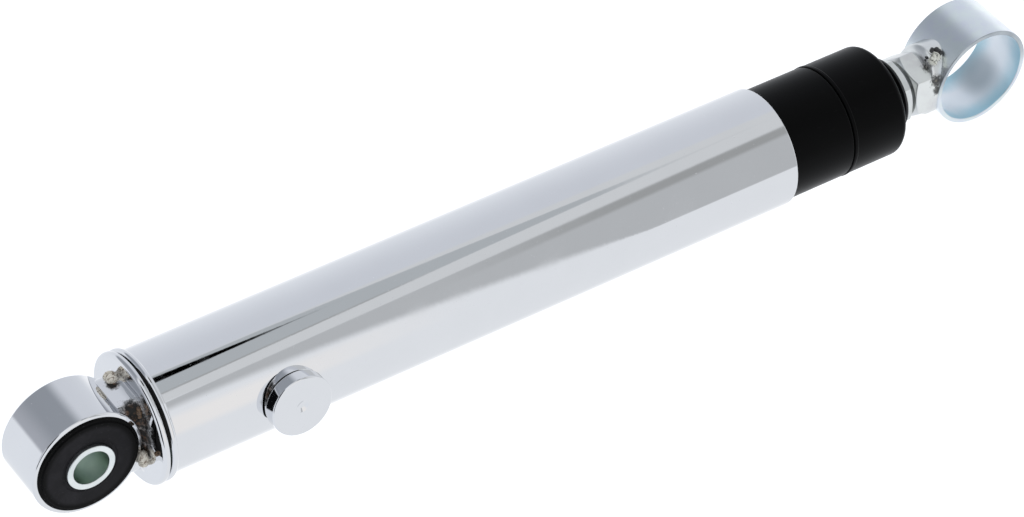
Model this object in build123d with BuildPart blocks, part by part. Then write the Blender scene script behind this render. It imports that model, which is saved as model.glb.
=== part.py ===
from build123d import *
import math
import os

# Slim rear shock absorber with a chromed cover, shown fully extended and upright.
# The origin is the centre of the upper eye. +Z runs up along the shaft, and both
# eye bores lie along Y. The side that the adjuster knob is on faces -Y.
# All sizes are in millimetres and all angles in degrees.

# Overall. The lengths from the cover's end down add up to 285 from eye to eye.
cover_end = 214.9
travel = 45.0
stop_gap = 0.5

# Clearances between pieces
run_gap = 0.04  # radial, a shaft in its guide
move_gap = 0.3  # pieces that pass each other
shaft_gap = 0.2  # radial, a hole that only clears a shaft

# Upper eye: ring, rubber bush and bolt sleeve
eye_outer_r = 15.7
eye_wall = 2.2
eye_width = 16.4
eye_edge = 0.5
bush_proud = 0.9
bush_inset = 1.3
bush_edge = 0.5
bolt_bore_r = 5.1
bolt_sleeve_wall = 1.75
bolt_sleeve_length = 20.0
bolt_sleeve_edge = 0.35

# Saddle under the upper eye
saddle_reach = 12.0
saddle_web = 0.5
saddle_round = 3.0
saddle_inset = 0.4

# Top cap
cap_r = 18.2
cap_thick = 1.9
cap_round = 1.1
cap_under_round = 0.4
plug_length = 10.0

# Damper tube and what is fixed in it
tube_bore_r = 7.6
tube_wall = 1.1
thrust_thick = 0.9
thrust_outer_r = 15.4
gland_flange = 2.0
gland_depth = 4.0
spanner_hole_r = 1.0
seal_length = 5.0
seal_groove = 1.2
guide_length = 10.0
guide_relief = 0.5

# Preload adjuster: the cam turns with the cover and pushes the seat down
preload_lift = 5.0
preload_turn = 90.0
cam_lobes = 3
cam_base = 4.0
cam_bore_gap = 0.4
seat_base = 4.0
seat_lip = 3.0
seat_lip_wall = 1.6
key_height = 1.0
key_width = 4.0
key_length = 10.6

# Cover tube
cover_r = 17.0
cover_wall = 0.7
cover_rim_gap = 0.6
cover_rim_r = 18.1
cover_rim_height = 1.9
cover_rim_round = 0.9
cover_edge = 0.2

# Knob on the cover
knob_height = 54.8
knob_turn = 6.4
knob_r = 8.8
knob_face = 21.5
knob_thick = 3.7
knob_edge = 0.5
knob_dimple_r = 1.3
knob_dimple = 0.35
knob_groove = 0.5
knob_neck_r = 7.9
knob_base_r = 8.4
rivet_r = 2.0
rivet_head_r = 3.2
rivet_head = 0.9

# Spring
wire_r = 2.0
spring_mean_r = 11.9
spring_pitch = 13.4

# Rod, piston and floating piston
rod_r = 5.0
rod_stud_r = 3.0
rod_stud_length = 22.0
piston_length = 12.0
piston_port_r = 1.1
piston_ports = 6
piston_port_circle = 5.2
band_width = 6.0
band_thick = 0.8
shim_thick = 0.3
shim_count = 4
shim_step = 0.8
piston_nut_flats = 10.0
piston_nut_height = 5.0
rebound_length = 11.7
rebound_wall = 2.0
float_top = 67.0
float_length = 12.0
float_wall = 3.0
float_seal_r = 0.9

# Black sleeve and its cup
sleeve_r = 16.0
sleeve_wall = 1.1
sleeve_in = 18.9
sleeve_out = 20.0
joint_groove = 0.35
joint_edge = 0.35
cup_length = 18.5
cup_round = 2.6
cup_floor = 2.5
cup_spigot = 7.0
cup_spigot_wall = 0.8
cup_hub_r = 9.5
cup_hub = 3.5

# Lower spring seat and bump stop
lower_seat_thick = 1.6
lower_seat_collar = 3.6
lower_seat_collar_r = 9.4
bump_length = 21.0
bump_r = 8.6
bump_waist = 1.6

# Washer, lock nut, hexagon stem and lower ring
washer_r = 10.6
washer_thick = 0.8
hex_flats = 17.0
nut_thick = 3.2
nut_turn = 9.0
hex_chamfer = 0.5
thread_gap = 1.1
stem_turn = 11.0
stem_hex_length = 6.3
stem_thread = 5.9
collar_r = 8.2
collar_flare = 3.8
collar_height = 1.45
collar_inset = 0.25
stem_saddle = 9.3
ring_outer_r = 15.25
ring_wall = 1.37
ring_width = 17.3
ring_edge = 0.3

# Worked out from the sizes above. Heights are below the upper eye's centre.
eye_bore_r = eye_outer_r - eye_wall
saddle_half = eye_width / 2 - saddle_inset
bolt_sleeve_r = bolt_bore_r + bolt_sleeve_wall
cap_top = eye_outer_r + saddle_web
cap_under = cap_top + cap_thick
tube_r = tube_bore_r + tube_wall
cover_bore_r = cover_r - cover_wall
cover_top = cap_under + cover_rim_gap
cam_top = cap_under + thrust_thick + move_gap
ramp_pitch = preload_lift * 360 / preload_turn
ramp_rise = ramp_pitch / cam_lobes
cam_bore_r = tube_r + cam_bore_gap
cam_high = cam_top + cam_base
cam_low = cam_high + ramp_rise
seat_bore_r = tube_r + move_gap
seat_r = cover_bore_r - move_gap
seat_face = cam_low + move_gap + seat_base
key_top = cam_low + move_gap
sleeve_top = cover_end - sleeve_in
sleeve_joint = cover_end + sleeve_out
cup_end = sleeve_joint + cup_length
lower_seat_top = cup_end - cup_floor - lower_seat_thick
bump_top = lower_seat_top - bump_length
gland_bottom = bump_top - stop_gap - travel
tube_end = gland_bottom - gland_flange
seal_bottom = tube_end - gland_depth
guide_bottom = seal_bottom - seal_length
guide_top = guide_bottom - guide_length
rebound_bottom = guide_top - move_gap
rod_shoulder = rebound_bottom - rebound_length
shim_pack = shim_thick * shim_count
piston_bottom = rod_shoulder - shim_pack
piston_top = piston_bottom - piston_length
piston_r = tube_bore_r - run_gap - band_thick / 4
nut_seat = piston_top - shim_pack
spring_top = seat_face + move_gap
sleeve_bore_r = sleeve_r - sleeve_wall
cup_bore_r = sleeve_bore_r - cup_spigot_wall
washer_top = cup_end + cup_hub
washer_under = washer_top + washer_thick
nut_under = washer_under + nut_thick
stem_top = nut_under + thread_gap
hex_under = stem_top + stem_hex_length
ring_top = hex_under + collar_height
eye_to_eye = ring_top + ring_outer_r
collar_half = ring_width / 2 - collar_inset
hex_corner_r = hex_flats / math.sqrt(3)
ring_bore_r = ring_outer_r - ring_wall

os.makedirs("parts", exist_ok=True)


def turned(*outline):
    """Closes an outline of (radius, height) points and turns it about the shaft."""
    with BuildSketch(Plane.XZ) as section:
        with BuildLine():
            Polyline(*outline, close=True)
        make_face()
    revolve(section.sketch, axis=Axis.Z)


def widest(piece, which):
    """One of a turned piece's widest edges: 0 is the lowest and -1 the highest."""
    rounds = piece.edges().filter_by(GeomType.CIRCLE).group_by(SortBy.RADIUS)
    return rounds[-1].sort_by(Axis.Z)[which]


def pipe(outer, inner, top, bottom):
    """A tube about the shaft, from its two radii and its two depths."""
    turned((inner, -top), (outer, -top), (outer, -bottom), (inner, -bottom))


def eye_pipe(outer, inner, width):
    """A ring about the upper eye's bore."""
    with BuildSketch(Plane.XZ.offset(-width / 2)) as face:
        Circle(outer)
        Circle(inner, mode=Mode.SUBTRACT)
    extrude(face.sketch, amount=width)


# Upper eye

with BuildPart() as upper_bush_sleeve:
    eye_pipe(bolt_sleeve_r, bolt_bore_r, bolt_sleeve_length)
    chamfer(upper_bush_sleeve.edges().filter_by(GeomType.CIRCLE), bolt_sleeve_edge)
upper_bush_sleeve.part.label = "upper_bush_sleeve"
export_step(upper_bush_sleeve.part, "parts/upper_bush_sleeve.step")

with BuildPart() as upper_eye_ring:
    eye_pipe(eye_outer_r, eye_bore_r, eye_width)
    rims = upper_eye_ring.edges().filter_by(GeomType.CIRCLE).group_by(SortBy.RADIUS)[-1]
    fillet(rims, eye_edge)
upper_eye_ring.part.label = "upper_eye_ring"
export_step(upper_eye_ring.part, "parts/upper_eye_ring.step")

# The rubber fills the ring and laps over both of its faces, short of the ring's edge.
bush_lip_r = eye_outer_r - bush_inset
bush_bore_r = bolt_sleeve_r + run_gap
with BuildPart() as upper_bush_rubber:
    eye_pipe(eye_bore_r, bush_bore_r, eye_width)
    for side in (1, -1):
        with BuildSketch(Plane.XZ.offset(side * eye_width / 2)):
            Circle(bush_lip_r)
            Circle(bush_bore_r, mode=Mode.SUBTRACT)
        extrude(amount=side * bush_proud)
    ends = upper_bush_rubber.edges().filter_by(GeomType.CIRCLE).group_by(Axis.Y)
    fillet([ends[0].sort_by(SortBy.RADIUS)[-1], ends[-1].sort_by(SortBy.RADIUS)[-1]], bush_edge)
upper_bush_rubber.part.label = "upper_bush_rubber"
export_step(upper_bush_rubber.part, "parts/upper_bush_rubber.step")

# The saddle is a block that is hollowed to carry the ring and stands flat on the cap.
saddle_rim = math.sqrt(eye_outer_r**2 - saddle_reach**2)
with BuildPart() as eye_saddle:
    with BuildSketch(Plane.XZ):
        with Locations((0, -cap_top)):
            above = (Align.CENTER, Align.MIN)
            Rectangle(2 * saddle_reach, cap_top - saddle_rim, align=above)
        Circle(eye_outer_r, mode=Mode.SUBTRACT)
    extrude(amount=saddle_half, both=True)
    corners = eye_saddle.edges().filter_by(Axis.Z)
    fillet(corners, saddle_round)
eye_saddle.part.label = "eye_saddle"
export_step(eye_saddle.part, "parts/eye_saddle.step")

with BuildPart() as top_cap:
    turned(
        (0, -cap_top),
        (cap_r, -cap_top),
        (cap_r, -cap_under),
        (tube_bore_r, -cap_under),
        (tube_bore_r, -cap_under - plug_length),
        (0, -cap_under - plug_length),
    )
    fillet(widest(top_cap, -1), cap_round)
    fillet(widest(top_cap, 0), cap_under_round)
top_cap.part.label = "top_cap"
export_step(top_cap.part, "parts/top_cap.step")

# Damper tube and what is fixed in it

with BuildPart() as damper_tube:
    pipe(tube_r, tube_bore_r, cap_under, tube_end)
damper_tube.part.label = "damper_tube"
export_step(damper_tube.part, "parts/damper_tube.step")

with BuildPart() as thrust_washer:
    pipe(thrust_outer_r, tube_r, cap_under, cap_under + thrust_thick)
thrust_washer.part.label = "thrust_washer"
export_step(thrust_washer.part, "parts/thrust_washer.step")

with BuildPart() as guide_keys:
    with BuildSketch(Plane.XY.offset(-key_top - key_length)):
        with PolarLocations(tube_r + key_height / 2 - tube_wall / 2, 2):
            Rectangle(key_height + tube_wall, key_width)
        Circle(tube_r, mode=Mode.SUBTRACT)
    extrude(amount=key_length)
guide_keys.part.label = "guide_keys"
export_step(guide_keys.part, "parts/guide_keys.step")

with BuildPart() as rod_guide:
    waist = rod_r + guide_relief
    relief = guide_length / 4
    turned(
        (rod_r + run_gap, -guide_top),
        (tube_bore_r, -guide_top),
        (tube_bore_r, -guide_bottom),
        (rod_r + run_gap, -guide_bottom),
        (rod_r + run_gap, -guide_bottom + relief),
        (waist, -guide_bottom + relief + guide_relief),
        (waist, -guide_top - relief - guide_relief),
        (rod_r + run_gap, -guide_top - relief),
    )
rod_guide.part.label = "rod_guide"
export_step(rod_guide.part, "parts/rod_guide.step")

with BuildPart() as rod_seal:
    middle = (guide_bottom + seal_bottom) / 2
    turned(
        (rod_r + run_gap, -guide_bottom),
        (tube_bore_r, -guide_bottom),
        (tube_bore_r, -seal_bottom),
        (rod_r + run_gap, -seal_bottom),
        (rod_r + seal_groove, -middle),
    )
rod_seal.part.label = "rod_seal"
export_step(rod_seal.part, "parts/rod_seal.step")

with BuildPart() as gland_nut:
    pipe(tube_r, rod_r + shaft_gap, tube_end, gland_bottom)
    pipe(tube_bore_r, rod_r + shaft_gap, seal_bottom, tube_end)
    with BuildSketch(Plane.XY.offset(-gland_bottom)):
        with PolarLocations((rod_r + shaft_gap + tube_r) / 2, 2):
            Circle(spanner_hole_r)
    extrude(amount=gland_flange, mode=Mode.SUBTRACT)
gland_nut.part.label = "gland_nut"
export_step(gland_nut.part, "parts/gland_nut.step")

# Preload adjuster. A rectangle swept along a short helix cuts each ramp.

ramp_mean_r = (cam_bore_r + cover_bore_r) / 2
ramp_width = (cover_bore_r - cam_bore_r) + 2 * cam_base
ramp_path = Edge.make_helix(ramp_pitch, ramp_rise, ramp_mean_r)
ramp_start = Plane(origin=ramp_path @ 0, x_dir=(-1, 0, 0), z_dir=ramp_path % 0)
cutter_height = 2 * ramp_rise

with BuildPart() as seat_cutter:
    with BuildLine():
        add(ramp_path)
    with BuildSketch(ramp_start):
        with Locations((0, cutter_height / 2)):
            Rectangle(ramp_width, cutter_height)
    sweep(is_frenet=True)

with BuildPart() as cam_cutter:
    with BuildLine():
        add(ramp_path)
    with BuildSketch(ramp_start):
        with Locations((0, -cutter_height / 2)):
            Rectangle(ramp_width, cutter_height)
    sweep(is_frenet=True)

with BuildPart() as cam_ring:
    pipe(cover_bore_r, cam_bore_r, cam_top, cam_low)
    with Locations((0, 0, -cam_low)):
        with PolarLocations(0, cam_lobes):
            add(cam_cutter.part, mode=Mode.SUBTRACT)
cam_ring.part.label = "cam_ring"
export_step(cam_ring.part, "parts/cam_ring.step")

with BuildPart() as spring_seat:
    pipe(seat_r, seat_bore_r, cam_high + move_gap, seat_face)
    pipe(seat_r, seat_r - seat_lip_wall, seat_face, seat_face + seat_lip)
    with Locations((0, 0, -cam_low - move_gap)):
        with PolarLocations(0, cam_lobes):
            add(seat_cutter.part, mode=Mode.SUBTRACT)
    with BuildSketch(Plane.XY.offset(-seat_face)):
        with PolarLocations(tube_r, 2):
            Rectangle(2 * (key_height + move_gap), key_width + 2 * move_gap)
    extrude(amount=seat_face - cam_high, mode=Mode.SUBTRACT)
spring_seat.part.label = "spring_seat"
export_step(spring_seat.part, "parts/spring_seat.step")

# Cover tube with the rolled rim, and the knob riveted through it

knob_dir = math.radians(knob_turn - 90)
knob_out = Vector(math.cos(knob_dir), math.sin(knob_dir), 0)
knob_origin = Vector(0, 0, -knob_height)


def knob_plane(out):
    """A plane square to the knob's axis, at a distance from the shaft."""
    return Plane(origin=knob_origin + knob_out * out, x_dir=(0, 0, 1), z_dir=knob_out)


with BuildPart() as cover_tube:
    pipe(cover_r, cover_bore_r, cover_top, cover_end)
    pipe(cover_rim_r, cover_bore_r, cover_top, cover_top + cover_rim_height)
    bead = cover_tube.edges().filter_by(GeomType.CIRCLE).group_by(SortBy.RADIUS)[-1]
    fillet(bead, cover_rim_round)
    foot = cover_tube.edges().filter_by(GeomType.CIRCLE).group_by(Axis.Z)[0]
    fillet(foot.sort_by(SortBy.RADIUS)[-1], cover_edge)
    with BuildSketch(knob_plane(0)):
        Circle(rivet_r)
    extrude(amount=cover_rim_r, mode=Mode.SUBTRACT)
cover_tube.part.label = "cover_tube"
export_step(cover_tube.part, "parts/cover_tube.step")

neck_out = knob_face - knob_thick - knob_groove
with BuildPart() as knob_base:
    with BuildSketch(knob_plane(0)):
        Circle(knob_base_r)
        Circle(rivet_r, mode=Mode.SUBTRACT)
    extrude(amount=neck_out)
    with BuildSketch(Plane.XY.offset(-knob_height)):
        Circle(cover_r)
    extrude(amount=2 * knob_base_r, both=True, mode=Mode.SUBTRACT)
knob_base.part.label = "knob_base"
export_step(knob_base.part, "parts/knob_base.step")

with BuildPart() as knob:
    with BuildSketch(knob_plane(neck_out)):
        Circle(knob_neck_r)
    extrude(amount=knob_groove)
    with BuildSketch(knob_plane(knob_face - knob_thick)):
        Circle(knob_r)
    extrude(amount=knob_thick)
    edges = knob.edges().filter_by(GeomType.CIRCLE).group_by(SortBy.RADIUS)[-1]
    fillet(edges, knob_edge)
    with BuildSketch(knob_plane(knob_face)):
        Circle(knob_dimple_r)
    extrude(amount=-knob_dimple, mode=Mode.SUBTRACT)
    with BuildSketch(knob_plane(neck_out)):
        Circle(rivet_r)
    extrude(amount=knob_thick / 2, mode=Mode.SUBTRACT)
knob.part.label = "knob"
export_step(knob.part, "parts/knob.step")

with BuildPart() as knob_rivet:
    with BuildSketch(knob_plane(cover_bore_r - rivet_head)):
        Circle(rivet_head_r)
    extrude(amount=rivet_head_r)
    with BuildSketch(Plane.XY.offset(-knob_height)):
        Circle(cover_r * 2)
        Circle(cover_bore_r, mode=Mode.SUBTRACT)
    extrude(amount=2 * rivet_head_r, both=True, mode=Mode.SUBTRACT)
    with BuildSketch(knob_plane(cover_bore_r - rivet_head)):
        Circle(rivet_r)
    extrude(amount=neck_out + knob_thick / 2 - cover_bore_r + rivet_head)
knob_rivet.part.label = "knob_rivet"
export_step(knob_rivet.part, "parts/knob_rivet.step")

# Floating piston between the oil and the gas

float_bottom = float_top + float_length
float_r = tube_bore_r - run_gap
with BuildPart() as floating_piston:
    turned(
        (0, -float_top - float_wall),
        (float_r - float_wall, -float_top - float_wall),
        (float_r - float_wall, -float_top),
        (float_r, -float_top),
        (float_r, -float_bottom),
        (0, -float_bottom),
    )
    with BuildSketch(Plane.XZ):
        with Locations((float_r, -(float_top + float_bottom) / 2)):
            Rectangle(2 * float_seal_r, 2 * float_seal_r)
    revolve(axis=Axis.Z, mode=Mode.SUBTRACT)
floating_piston.part.label = "floating_piston"
export_step(floating_piston.part, "parts/floating_piston.step")

with BuildPart() as floating_piston_seal:
    groove_mid = (float_top + float_bottom) / 2
    pipe(float_r, float_r - float_seal_r, groove_mid - float_seal_r, groove_mid + float_seal_r)
floating_piston_seal.part.label = "floating_piston_seal"
export_step(floating_piston_seal.part, "parts/floating_piston_seal.step")

# Rod and piston

rod_end = stem_top + stem_thread
with BuildPart() as piston_rod:
    turned(
        (0, -rod_shoulder + rod_stud_length),
        (rod_stud_r, -rod_shoulder + rod_stud_length),
        (rod_stud_r, -rod_shoulder),
        (rod_r, -rod_shoulder),
        (rod_r, -rod_end),
        (0, -rod_end),
    )
    chamfer(piston_rod.edges().filter_by(GeomType.CIRCLE).sort_by(Axis.Z)[0], rod_r / 10)
piston_rod.part.label = "piston_rod"
export_step(piston_rod.part, "parts/piston_rod.step")

band_middle = (piston_top + piston_bottom) / 2
with BuildPart() as piston:
    pipe(piston_r, rod_stud_r, piston_top, piston_bottom)
    with BuildSketch(Plane.XZ):
        with Locations((piston_r, -band_middle)):
            Rectangle(2 * band_thick, band_width)
    revolve(axis=Axis.Z, mode=Mode.SUBTRACT)
    with BuildSketch(Plane.XY.offset(-piston_bottom)):
        with PolarLocations(piston_port_circle, piston_ports):
            Circle(piston_port_r)
    extrude(amount=piston_length, mode=Mode.SUBTRACT)
piston.part.label = "piston"
export_step(piston.part, "parts/piston.step")

with BuildPart() as piston_band:
    band_bore_r = piston_r - band_thick
    pipe(tube_bore_r - run_gap, band_bore_r, band_middle - band_width / 2, band_middle + band_width / 2)
piston_band.part.label = "piston_band"
export_step(piston_band.part, "parts/piston_band.step")


def shim_stack(start, away):
    """Discs on the stud that get smaller away from the piston's face."""
    for n in range(shim_count):
        near = start + away * n * shim_thick
        far = near + away * shim_thick
        pipe(piston_r - shim_step * (n + 1) / 2, rod_stud_r, min(near, far), max(near, far))


with BuildPart() as compression_shims:
    shim_stack(piston_top, -1)
compression_shims.part.label = "compression_shims"
export_step(compression_shims.part, "parts/compression_shims.step")

with BuildPart() as rebound_shims:
    shim_stack(piston_bottom, 1)
rebound_shims.part.label = "rebound_shims"
export_step(rebound_shims.part, "parts/rebound_shims.step")

with BuildPart() as piston_nut:
    with BuildSketch(Plane.XY.offset(-nut_seat)):
        RegularPolygon(piston_nut_flats / 2, 6, major_radius=False)
        Circle(rod_stud_r, mode=Mode.SUBTRACT)
    extrude(amount=piston_nut_height)
piston_nut.part.label = "piston_nut"
export_step(piston_nut.part, "parts/piston_nut.step")

with BuildPart() as rebound_stop:
    pipe(rod_r + rebound_wall, rod_r, rod_shoulder, rebound_bottom)
rebound_stop.part.label = "rebound_stop"
export_step(rebound_stop.part, "parts/rebound_stop.step")

# Black sleeve, its cup and what stands in it

with BuildPart() as dust_sleeve:
    pipe(sleeve_r, sleeve_bore_r, sleeve_top, sleeve_joint - joint_groove / 2)
    rims = dust_sleeve.edges().filter_by(GeomType.CIRCLE).group_by(SortBy.RADIUS)[-1]
    chamfer(rims, joint_edge)
dust_sleeve.part.label = "dust_sleeve"
export_step(dust_sleeve.part, "parts/dust_sleeve.step")

cup_top = sleeve_joint + joint_groove / 2
cup_inside = cup_end - cup_floor
with BuildPart() as sleeve_cup:
    turned(
        (rod_r + shaft_gap, -cup_inside),
        (cup_bore_r, -cup_inside),
        (cup_bore_r, -cup_top + cup_spigot),
        (sleeve_bore_r, -cup_top + cup_spigot),
        (sleeve_bore_r, -cup_top),
        (sleeve_r, -cup_top),
        (sleeve_r, -cup_end),
        (cup_hub_r, -cup_end),
        (cup_hub_r, -washer_top),
        (rod_r + shaft_gap, -washer_top),
    )
    fillet(widest(sleeve_cup, 0), cup_round)
    chamfer(widest(sleeve_cup, -1), joint_edge)
sleeve_cup.part.label = "sleeve_cup"
export_step(sleeve_cup.part, "parts/sleeve_cup.step")

with BuildPart() as lower_spring_seat:
    pipe(cup_bore_r, rod_r, lower_seat_top, cup_inside)
    pipe(lower_seat_collar_r, bump_r, lower_seat_top - lower_seat_collar, lower_seat_top)
lower_spring_seat.part.label = "lower_spring_seat"
export_step(lower_spring_seat.part, "parts/lower_spring_seat.step")

with BuildPart() as bump_stop:
    waist_r = bump_r - bump_waist
    third = bump_length / 3
    turned(
        (rod_r, -bump_top),
        (waist_r, -bump_top),
        (bump_r, -bump_top - third / 2),
        (waist_r, -bump_top - third),
        (bump_r, -bump_top - third * 3 / 2),
        (waist_r, -bump_top - third * 2),
        (bump_r, -lower_seat_top + lower_seat_collar),
        (bump_r, -lower_seat_top),
        (rod_r, -lower_seat_top),
    )
bump_stop.part.label = "bump_stop"
export_step(bump_stop.part, "parts/bump_stop.step")

# The spring is open and ground: a long coil cut flat at both seats.
with BuildPart() as coil_spring:
    with BuildLine(Plane.XY.offset(-lower_seat_top - 2 * wire_r)) as coil:
        Helix(spring_pitch, lower_seat_top - spring_top + 4 * wire_r, spring_mean_r)
    with BuildSketch(Plane(origin=coil.line @ 0, z_dir=coil.line % 0)):
        Circle(wire_r)
    sweep(is_frenet=True)
    for face, out in ((lower_seat_top, -1), (spring_top, 1)):
        with BuildSketch(Plane.XY.offset(-face)):
            Circle(sleeve_r)
        extrude(amount=out * 6 * wire_r, mode=Mode.SUBTRACT)
coil_spring.part.label = "coil_spring"
export_step(coil_spring.part, "parts/coil_spring.step")

# Washer, lock nut, hexagon stem and lower ring

with BuildPart() as end_washer:
    pipe(washer_r, rod_r + shaft_gap, washer_top, washer_under)
end_washer.part.label = "end_washer"
export_step(end_washer.part, "parts/end_washer.step")


def hex_length(top, bottom, turn, chamfered):
    """A hexagon bar with its corners turned off at the chamfered depths."""
    with BuildSketch(Plane.XY.offset(-bottom)) as bar:
        RegularPolygon(hex_corner_r, 6, rotation=turn)
    extrude(bar.sketch, amount=bottom - top)
    flats_r = hex_flats / 2
    for depth, inwards in chamfered:
        with BuildSketch(Plane.XZ) as corner:
            with BuildLine():
                Polyline(
                    (flats_r - hex_chamfer, -depth),
                    (hex_corner_r + hex_chamfer, -depth),
                    (hex_corner_r + hex_chamfer, -depth - inwards * hex_corner_r / 4),
                    close=True,
                )
            make_face()
        revolve(corner.sketch, axis=Axis.Z, mode=Mode.SUBTRACT)


with BuildPart() as lock_nut:
    hex_length(washer_under, nut_under, nut_turn, ((nut_under, -1),))
    with BuildSketch(Plane.XY.offset(-nut_under)):
        Circle(rod_r)
    extrude(amount=nut_thick, mode=Mode.SUBTRACT)
lock_nut.part.label = "lock_nut"
export_step(lock_nut.part, "parts/lock_nut.step")

# The stem ends in a flared collar that is cut to sit on the lower ring.
with BuildPart() as hex_stem:
    hex_length(stem_top, hex_under, stem_turn, ((stem_top, 1),))
    with BuildSketch(Plane.XZ):
        with BuildLine():
            Line((0, -hex_under + 1), (collar_r, -hex_under + 1))
            Line((collar_r, -hex_under + 1), (collar_r, -ring_top))
            foot = (collar_r + collar_flare, -eye_to_eye + stem_saddle)
            RadiusArc((collar_r, -ring_top), foot, 4 * collar_flare)
            Line(foot, (collar_r + collar_flare, -eye_to_eye))
            Line((collar_r + collar_flare, -eye_to_eye), (0, -eye_to_eye))
            Line((0, -eye_to_eye), (0, -hex_under + 1))
        make_face()
    revolve(axis=Axis.Z)
    with BuildSketch(Plane.XZ):
        with Locations((0, -eye_to_eye)):
            Circle(ring_outer_r)
            Rectangle(3 * ring_outer_r, 2 * stem_saddle)
    extrude(amount=ring_width, both=True, mode=Mode.SUBTRACT)
    for side in (1, -1):
        with BuildSketch(Plane.XZ.offset(side * collar_half)):
            with Locations((0, -eye_to_eye)):
                Rectangle(3 * ring_outer_r, 3 * ring_outer_r)
        extrude(amount=side * ring_width, mode=Mode.SUBTRACT)
    with BuildSketch(Plane.XY.offset(-rod_end)):
        Circle(rod_r)
    extrude(amount=stem_thread, mode=Mode.SUBTRACT)
hex_stem.part.label = "hex_stem"
export_step(hex_stem.part, "parts/hex_stem.step")

with BuildPart() as lower_eye_ring:
    with BuildSketch(Plane.XZ.offset(-ring_width / 2)):
        with Locations((0, -eye_to_eye)):
            Circle(ring_outer_r)
            Circle(ring_bore_r, mode=Mode.SUBTRACT)
    extrude(amount=ring_width)
    fillet(lower_eye_ring.edges().filter_by(GeomType.CIRCLE), ring_edge)
lower_eye_ring.part.label = "lower_eye_ring"
export_step(lower_eye_ring.part, "parts/lower_eye_ring.step")
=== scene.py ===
# %% [markdown]
# # A chromed motorcycle shock absorber
#
# The real part is a slim sprung damper. It hangs from a rubber-bushed eye, its chromed cover turns to
# set the spring, and a black sleeve slides out of the cover and ends in a stem and a bare ring.
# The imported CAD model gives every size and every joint. This script gives that model its looks:
# it turns fresh, finely divided meshes for the surfaces that show, and it builds a finish for each metal,
# rubber and plastic. It starts by loading the frame.

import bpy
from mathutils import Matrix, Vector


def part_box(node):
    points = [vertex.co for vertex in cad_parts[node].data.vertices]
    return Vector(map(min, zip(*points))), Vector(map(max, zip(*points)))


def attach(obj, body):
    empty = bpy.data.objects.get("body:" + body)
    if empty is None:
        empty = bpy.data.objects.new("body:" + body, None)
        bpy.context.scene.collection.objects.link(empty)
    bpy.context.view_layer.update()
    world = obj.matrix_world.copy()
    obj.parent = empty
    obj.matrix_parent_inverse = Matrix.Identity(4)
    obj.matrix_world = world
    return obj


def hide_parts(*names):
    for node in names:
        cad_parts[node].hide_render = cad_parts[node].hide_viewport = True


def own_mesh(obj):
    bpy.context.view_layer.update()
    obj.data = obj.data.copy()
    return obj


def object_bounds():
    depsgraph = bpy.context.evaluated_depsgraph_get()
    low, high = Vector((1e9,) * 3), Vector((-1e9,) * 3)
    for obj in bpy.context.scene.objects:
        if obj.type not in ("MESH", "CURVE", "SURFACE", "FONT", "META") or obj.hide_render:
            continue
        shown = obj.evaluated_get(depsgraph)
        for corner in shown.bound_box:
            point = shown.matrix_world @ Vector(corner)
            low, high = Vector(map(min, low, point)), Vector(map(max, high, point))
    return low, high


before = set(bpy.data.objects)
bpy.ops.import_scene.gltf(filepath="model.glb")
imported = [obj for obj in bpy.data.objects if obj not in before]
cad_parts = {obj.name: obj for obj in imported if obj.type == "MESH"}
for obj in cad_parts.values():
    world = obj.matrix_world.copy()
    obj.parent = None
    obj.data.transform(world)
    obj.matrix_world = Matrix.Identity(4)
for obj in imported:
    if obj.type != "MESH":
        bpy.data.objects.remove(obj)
cad_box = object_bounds()

# %% [markdown]
# Blender's own modules come next. All lengths below are in metres, and `mm` keeps them readable.

# %% Modules and units
import math
import random

import bmesh
import bpy
from mathutils import Matrix, Vector

mm = 0.001
rng = random.Random(7)
print("one mm is", mm, "m")

# %% [markdown]
# The frame already knows where things are, so sizes are read from it and not typed again. A box gives
# a turned piece's radius and its two ends. Heights run along +Z, and the lower pieces are at -Z.


# %% Sizes read from the frame
def ends(node):
    """The lowest and highest Z of a CAD node."""
    low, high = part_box(node)
    return low.z, high.z


def radius(node):
    """Half of a CAD node's width along X."""
    low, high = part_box(node)
    return (high.x - low.x) / 2


cover_bottom, cover_top = ends("cover_tube")
cap_under = ends("damper_tube")[1]
cap_top = ends("top_cap")[1]
cap_r = radius("top_cap")
bead_r = radius("cover_tube")
eye_r = radius("upper_eye_ring")
eye_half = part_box("upper_eye_ring")[1].y
bush_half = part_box("upper_bush_rubber")[1].y
bush_r = radius("upper_bush_rubber")
bolt_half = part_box("upper_bush_sleeve")[1].y
bolt_r = radius("upper_bush_sleeve")
ring_r = radius("lower_eye_ring")
ring_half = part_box("lower_eye_ring")[1].y
ring_z = sum(ends("lower_eye_ring")) / 2
sleeve_r = radius("dust_sleeve")
sleeve_low, sleeve_top = ends("dust_sleeve")
cup_low, cup_top = ends("sleeve_cup")
washer_low, washer_top = ends("end_washer")
nut_low, nut_top = ends("lock_nut")
stem_top = ends("hex_stem")[1]
rod_low, rod_top = ends("piston_rod")
rod_r = radius("piston_rod")
spring_low, spring_top = ends("coil_spring")
knob_low, knob_high = ends("knob")
knob_z = (knob_low + knob_high) / 2
print(f"eye to eye {-ring_z / mm:.1f} mm, cover {cover_top / mm:.1f} to {cover_bottom / mm:.1f} mm")

# %% [markdown]
# Some sizes are inside a box and cannot be read from it. They are the maker's own, in millimetres:
# the walls, the flats of the hexagons and the knob's direction round the cover.

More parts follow.
